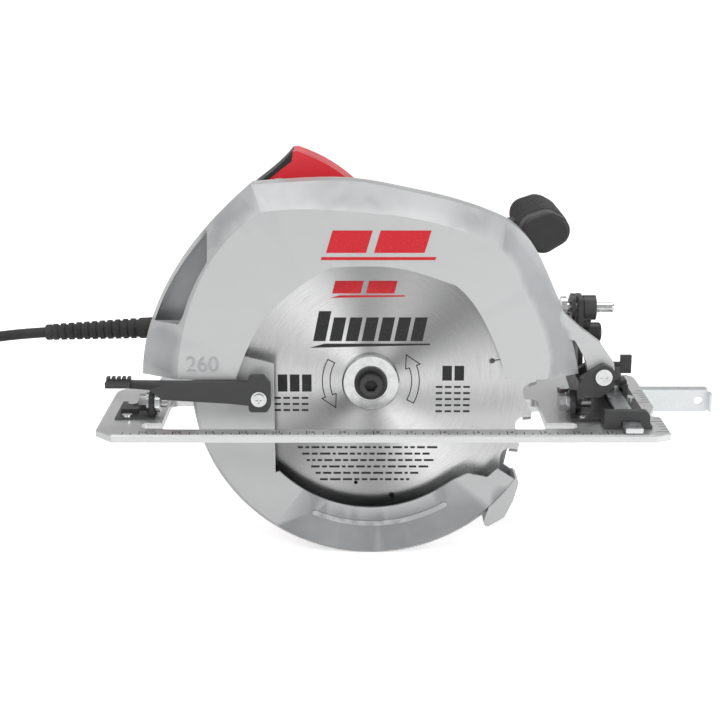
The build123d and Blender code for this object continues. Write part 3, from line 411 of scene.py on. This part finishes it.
def printed(name, outlines, near_y, body, material, thick=0.12):
    """Thin ink or foil shapes lying on a face that looks along -Y."""
    bm = bmesh.new()
    for outline in outlines:
        prism(bm, outline, near_y - thick, near_y + 0.05, facing_blade)
    return mesh_from(name, bm, body, material)


def around_arbor(radius, angle):
    turn = math.radians(angle)
    return radius * math.cos(turn), ARBOR.z / MM + radius * math.sin(turn)


def outline_bars(outline_shape, width=1.0):
    """The edges of a closed outline as thin four-sided bars."""
    bars = []
    count = len(outline_shape)
    for k in range(count):
        (x0, z0), (x1, z1) = outline_shape[k], outline_shape[(k + 1) % count]
        run = math.hypot(x1 - x0, z1 - z0)
        if run < 0.01:
            continue
        nx, nz = -(z1 - z0) / run * width / 2, (x1 - x0) / run * width / 2
        ex, ez = (x1 - x0) / run * width * 0.3, (z1 - z0) / run * width * 0.3
        bars.append([(x0 - ex + nx, z0 - ez + nz), (x0 - ex - nx, z0 - ez - nz),
                     (x1 + ex - nx, z1 + ez - nz), (x1 + ex + nx, z1 + ez + nz)])
    return bars


def arrow_outline(radius, start, end, width, head):
    """One closed outline of an arc band that ends in an arrowhead."""
    z = ARBOR.z / MM
    turns = [math.radians(start + (end - start) * k / 14) for k in range(15)]
    outer = [((radius + width / 2) * math.cos(t), z + (radius + width / 2) * math.sin(t))
             for t in turns]
    inner = [((radius - width / 2) * math.cos(t), z + (radius - width / 2) * math.sin(t))
             for t in reversed(turns)]
    sign = 1 if end > start else -1
    barbs = [around_arbor(radius + width, end), around_arbor(radius, end + sign * head),
             around_arbor(radius - width, end)]
    return outer + barbs + inner


ARROW = {"radius": 35, "width": 6, "head": 18}
TITLE_X, TITLE_Z, TITLE_PITCH, TITLE_BAR = -45, 66, 12.6, 9.6
FIRST_TALL, OTHERS_TALL = 24, 19
DASH_H = 1.6


def slanted(x, z, wide, tall, lean):
    """An upright bar whose top is pushed forwards by lean."""
    return [(x, z), (x + wide, z), (x + wide + lean, z + tall), (x + lean, z + tall)]


def dash_rows(x, z, rows, columns=4, wide=5.2, pitch=7.2, drop=5):
    """A block of equal dashes, its top row at z."""
    return [rectangle(x + pitch * column, x + pitch * column + wide, z - drop * row,
                      z - drop * row + DASH_H) for row in range(rows) for column in range(columns)]


def long_print():
    """Six narrowing rows of uneven dashes under the hub."""
    source = random.Random(7)
    dashes = []
    for row in range(6):
        z = -22 - 5.4 * row
        reach = 58 - row * 3.5
        x = -reach
        while x < reach - 8:
            length = source.uniform(2.2, 8.5)
            dashes.append(rectangle(x, x + length, z, z + 1.7))
            x += length + 1.8
    return dashes


def blade_prints(black, red):
    """Plain bars, outlined turning arrows and rows of dashes on the blade's near face."""
    def on_blade(name, outlines, material):
        printed(name, outlines, BLADE_NEAR_Y, "spindle", material)

    arrows = outline_bars(arrow_outline(start=152, end=200, **ARROW), 0.8)
    arrows += outline_bars(arrow_outline(start=-28, end=20, **ARROW), 0.8)
    on_blade("blade_arrows", arrows, black)
    title = []
    for k in range(7):
        tall = OTHERS_TALL if k else FIRST_TALL
        title.append(slanted(TITLE_X + TITLE_PITCH * k, TITLE_Z, TITLE_BAR, tall, tall / 5))
    title.append([(-48, 60.6), (46, 62.8), (46, 64), (-36, 64)])
    title += [rectangle(x, x + 7.5, 25, 39) for x in (-73, -63.5, -54)]
    title += [rectangle(x, x + 7.5, 34, 46) for x in (56, 65.5)]
    on_blade("blade_title_bars", title, black)
    fine_print = long_print() + dash_rows(51, 28, 5) + dash_rows(-76, 19, 3)
    on_blade("blade_fine_print", fine_print, black)
    badge = [slanted(x, 104, 22, 10, 2.5) for x in (-30, -4)]
    badge.append([(-32, 100.5), (26, 101.5), (26, 102.6), (-24, 102.6)])
    on_blade("blade_badge", badge, red)


def guard_badges(red, grey):
    """A plain red double bar on the top of the fixed guard and a raised size number."""
    marks = [slanted(x, 140, length, 17, 5) for x, length in ((-34, 30), (2, 38))]
    printed("guard_red_bars", marks, GUARD_FACE_Y, "saw_body", red, 0.25)
    strip = [[(-38, 134.5), (48, 134.5), (49, 136.8), (-37.3, 136.8)]]
    printed("guard_red_line", strip, GUARD_FACE_Y, "saw_body", red, 0.25)
    number = bpy.data.curves.new("guard_size_number", "FONT")
    number.body = "260"
    number.size, number.extrude, number.bevel_depth = 17 * MM, 0.5 * MM, 0.15 * MM
    text = new_object("guard_size_number", number, "saw_body", grey)
    text.location = mm(-142, GUARD_FACE_Y - 0.1, 47.5)
    text.rotation_euler = (math.pi / 2, 0, 0)


def shoe_ruler(ink_material):
    """Quarter-inch marks with numbers along both straight edges of the shoe."""
    bm = bmesh.new()

    def tick(*box):
        prism(bm, rectangle(*box), SHOE_TOP - 0.05, SHOE_TOP + 0.08, facing_up)

    for k in range(RULER_TICKS):
        x = RULER_START_X - QUARTER_INCH * k
        depth = (8.0, 3.6, 5.5, 3.6)[k % 4]
        tick(x - 0.3, x + 0.3, SHOE_NEAR_Y + 1.4, SHOE_NEAR_Y + 1.4 + depth)
    for k in range(18):
        y = -44 + QUARTER_INCH * k
        depth = 9.0 if k % 4 == 0 else 5.0
        if y < -12 or y > 27:
            tick(SHOE_FRONT_X - depth, SHOE_FRONT_X + 0.5, y - 0.3, y + 0.3)
    mesh_from("shoe_ruler_marks", bm, "base", ink_material)
    for inch in range(1, 16):
        number = bpy.data.curves.new(f"shoe_number_{inch}", "FONT")
        number.body, number.size, number.extrude = str(inch), 5.2 * MM, 0.05 * MM
        number.align_x = "CENTER"
        text = new_object(f"shoe_number_{inch}", number, "base", ink_material)
        x = RULER_START_X - 4 * QUARTER_INCH * inch
        text.location = mm(x + 3.4, SHOE_NEAR_Y + 5.2, SHOE_TOP + 0.06)


GRIP_SPINE = [(-70, 199), (-84, 187), (-100, 173.5), (-117, 157), (-131, 139), (-143, 121),
              (-152, 103)]
RIB_SECTION = ((-1.1, -1.5), (1.1, -1.5), (0.9, 0.4), (-0.9, 0.4))


def grip_ribs(material):
    """Raised rubber pads with cross ribs along the back of the main handle."""
    bm = bmesh.new()
    for k, (x, z) in enumerate(GRIP_SPINE):
        x0, z0 = GRIP_SPINE[max(k - 1, 0)]
        x1, z1 = GRIP_SPINE[min(k + 1, len(GRIP_SPINE) - 1)]
        run = math.hypot(x1 - x0, z1 - z0)
        along = Vector(((x1 - x0) / run, (z1 - z0) / run))
        out = Vector((along.y, -along.x)) * -1
        if out.x > 0:
            out = -out
        for step in (-4.5, 0, 4.5):
            centre = Vector((x, z)) + along * step - out * 0.7
            corners = [centre + along * a + out * b for a, b in RIB_SECTION]
            prism(bm, [tuple(c) for c in corners], 48, 72, facing_blade)
    return mesh_from("handle_grip_ribs", bm, "saw_body", material)


AUX_PROFILE = [(107, 154), (138.5, 164.5), (167, 149.6), (132, 128)]
AUX_CORNER_R, AUX_BANDS = 12, 11


def aux_grip_ribs(material):
    """Rings of raised rubber bands round the front handle's grip."""
    profile = rounded(AUX_PROFILE, AUX_CORNER_R)
    bm = bmesh.new()
    for k in range(AUX_BANDS):
        y = 38 + 6.4 * k
        prism(bm, grown(profile, 0.9), y, y + 3.6, facing_blade)
    ribs = mesh_from("aux_handle_ribs", bm, "saw_body", material)
    return bevelled(ribs, 0.7)


def rounded(corners, radius, steps=7):
    """A closed outline with its corners rounded by arcs."""
    result = []
    count = len(corners)
    for k in range(count):
        before, corner, after = (Vector(corners[(k + d) % count]) for d in (-1, 0, 1))
        a, b = (before - corner).normalized(), (after - corner).normalized()
        half = a.angle(b) / 2
        reach = radius / math.tan(half)
        centre = corner + (a + b).normalized() * radius / math.sin(half)
        start, end = corner + a * reach - centre, corner + b * reach - centre
        turn = math.atan2(start.x * end.y - start.y * end.x, start.dot(end))
        for step in range(steps + 1):
            angle = turn * step / steps
            c, s = math.cos(angle), math.sin(angle)
            result.append((centre.x + start.x * c - start.y * s,
                           centre.y + start.x * s + start.y * c))
    return result


def grown(outline, amount):
    """The outline with each point moved away from the middle by an amount."""
    middle = Vector((sum(u for u, v in outline), sum(v for u, v in outline))) / len(outline)
    return [tuple(Vector(p) + (Vector(p) - middle).normalized() * amount) for p in outline]


RELIEF_START = (-170, 60, 62)
RELIEF_RINGS = 11


def ringed_relief(material):
    """The strain relief's tapered sleeve, cut into flexing rings."""
    start, end = Vector(RELIEF_START), Vector(CORD_ROUTE[0])
    length = (end - start).length
    profile = [(8.5, 0), (8.5, 18), (8.2, 19)]
    pitch = (length - 26) / RELIEF_RINGS
    for k in range(RELIEF_RINGS):
        at = 20 + (length - 26) * k / RELIEF_RINGS
        wide = 8.3 - 1.8 * k / RELIEF_RINGS
        profile += [(wide - 1.1, at), (wide - 1.1, at + pitch * 0.3), (wide, at + pitch * 0.38),
                    (wide, at + pitch * 0.92), (wide - 1.1, at + pitch)]
    profile += [(6.4, length - 4.5), (6.4, length - 1), (5.6, length), (4.3, length)]
    sleeve = lathe("strain_relief_sleeve", profile, tuple(start), end - start, "saw_body",
                   material)
    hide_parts("strain_relief")
    return sleeve


# ---- finishes of the carried-over parts ----------------------------------------------------------
SATIN_EDGES = {"shoe": 0.5, "upper_guard": 0.8, "lower_guard": 0.6, "gear_case": 0.8,
               "guard_lever": 0.7, "front_bracket": 0.4, "rear_bracket": 0.3, "bevel_yoke": 0.4,
               "depth_strap": 0.3, "rip_fence": 0.3, "outer_flange": 0.3, "blade_bolt": 0.4,
               "lever_screw": 0.2, "handle_near_half": 2.2, "handle_far_half": 2.2,
               "handle_soft_grip": 1.2, "aux_handle_cap": 0.8, "aux_handle_grip": 1.5,
               "aux_handle_bar": 1.2, "trigger": 1.2, "depth_lock_lever": 1.0,
               "bevel_lock_lever": 1.0, "rip_clamp_knob": 0.9, "motor_housing": 0.6,
               "motor_end_cap": 0.5, "plug_body": 0.8, "cord_tie": 0.4}


def finish_cad(looks):
    """Smooth shading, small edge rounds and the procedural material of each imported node."""
    for entry in frame["record"]["subparts"]:
        name = entry["node"]
        obj = nodes[name]
        obj.data.shade_smooth()
        obj.data.set_sharp_from_angle(angle=math.radians(28))
        obj.data.materials.clear()
        obj.data.materials.append(looks.get(name) or looks[entry["material_slot"]])
        if name in SATIN_EDGES:
            bevelled(obj, SATIN_EDGES[name], 2, 32)


def material_set():
    looks = {
        "alu": brushed_metal("shoe_aluminium", (0.74, 0.75, 0.76), 0.34, (0.05, 1, 1), 0.9),
        "guard": painted_guard(),
        "lower_guard": shadowed_guard(),
        "zinc": brushed_metal("zinc_strip", (0.78, 0.84, 0.85), 0.33, (0.06, 0.06, 1)),
        "steel": bright_steel("plain_steel", (0.55, 0.55, 0.56), 0.32),
        "blade_steel": ground_blade(),
        "carbide": bright_steel("carbide", (0.34, 0.34, 0.36), 0.3),
        "bright": bright_steel("bright_zinc", (0.86, 0.87, 0.87), 0.2),
        "black_plastic": moulded_plastic("black_plastic", (0.022, 0.022, 0.023), 0.45),
        "red_plastic": moulded_plastic("red_plastic", (0.60, 0.012, 0.022), 0.36, 0.9, 0.22, 0.15),
        "rubber": rubber(),
        "black_steel": moulded_plastic("black_steel_paint", (0.02, 0.02, 0.021), 0.38, 1.4, 0.2),
        "cast": cast_aluminium(),
        "copper": bright_steel("copper", (0.72, 0.36, 0.2), 0.3),
        "laminations": brushed_metal("laminations", (0.3, 0.3, 0.31), 0.45, (1, 8, 1)),
        "cord_rubber": rubber("cord_rubber", (0.02, 0.02, 0.02)),
        "brass": bright_steel("brass", (0.78, 0.60, 0.26), 0.26),
    }
    return looks


# ---- light and floor -----------------------------------------------------------------------------
WORLD_LIGHT = 0.42
FLOOR_LIFT = 0.55
FLOOR_GAP = 0.0004
SWEEP_START, SWEEP_R = 2.2, 1.6
LIGHTS = {
    "key": ((-1.0, -1.5, 1.7), (0, 0, 0.05), (1.2, 1.0), 16),
    "fill": ((1.5, -1.3, 0.7), (0, 0, 0.05), (0.8, 1.3), 15),
    "top": ((0.0, 0.4, 1.9), (0, 0, 0.1), (1.6, 0.9), 15),
}


def make_stage():
    """A white floor at the lowest point of the saw, with a soft rise behind it."""
    bm = bmesh.new()
    profile = [(-6, 0), (SWEEP_START, 0)]
    for k in range(1, 13):
        turn = math.pi / 2 * k / 12
        profile.append((SWEEP_START + SWEEP_R * math.sin(turn), SWEEP_R - SWEEP_R * math.cos(turn)))
    profile.append((SWEEP_START + SWEEP_R, 6))
    rows = [[bm.verts.new((x, y, FLOOR_Z - FLOOR_GAP + z)) for x in (-7, 7)] for y, z in profile]
    for low, high in zip(rows, rows[1:]):
        bm.faces.new((low[0], low[1], high[1], high[0]))
    mesh = bpy.data.meshes.new("floor")
    bm.to_mesh(mesh)
    bm.free()
    mesh.shade_smooth()
    shader = Shader("floor_white", (0.90, 0.90, 0.90), 0.6, Emission_Color=(1, 1, 1, 1))
    shader.tint(shader.noise(400, 2), 0.4, 0.6, (0.92, 0.92, 0.92))
    seen = shader.node("ShaderNodeLightPath").outputs["Is Camera Ray"]
    shader.link(shader.math("MULTIPLY", seen, FLOOR_LIFT), shader.bsdf.inputs["Emission Strength"])
    mesh.materials.append(shader.material)
    floor = bpy.data.objects.new("floor", mesh)
    scene.collection.objects.link(floor)


def area_light(name, place, aim, size, power):
    data = bpy.data.lights.new(name, "AREA")
    data.shape, data.size, data.size_y = "RECTANGLE", size[0], size[1]
    data.energy = power
    light = bpy.data.objects.new(name, data)
    scene.collection.objects.link(light)
    light.location = place
    light.rotation_mode = "QUATERNION"
    light.rotation_quaternion = (Vector(aim) - Vector(place)).to_track_quat("-Z", "Y")


def make_lights():
    """An even world that the camera sees as pure white, and three soft boxes."""
    world = bpy.data.worlds.new("studio")
    world.use_nodes = True
    background = world.node_tree.nodes["Background"]
    background.inputs["Color"].default_value = (1, 1, 1, 1)
    seen = world.node_tree.nodes.new("ShaderNodeLightPath").outputs["Is Camera Ray"]
    strength = world.node_tree.nodes.new("ShaderNodeMapRange")
    strength.inputs["To Min"].default_value = WORLD_LIGHT
    strength.inputs["To Max"].default_value = 1.0
    world.node_tree.links.new(seen, strength.inputs["Value"])
    world.node_tree.links.new(strength.outputs[0], background.inputs["Strength"])
    scene.world = world
    for name, (place, aim, size, power) in LIGHTS.items():
        area_light(name, place, aim, size, power)
    scene.view_settings.view_transform = "Standard"


# ---- making everything ---------------------------------------------------------------------------
def build():
    looks = material_set()
    make_camera()
    make_cord(looks["cord_rubber"])
    finish_cad(looks)
    nodes["lower_guard"].data.materials[0] = looks["lower_guard"]
    black_ink = ink("black_ink", (0.012, 0.012, 0.013))
    red_ink = ink("red_ink", (0.62, 0.01, 0.02))
    blade_prints(black_ink, red_ink)
    guard_badges(red_ink, looks["guard"])
    shoe_ruler(black_ink)
    grip_ribs(looks["rubber"])
    aux_grip_ribs(looks["rubber"])
    ringed_relief(looks["cord_rubber"])
    make_stage()
    make_lights()


build()
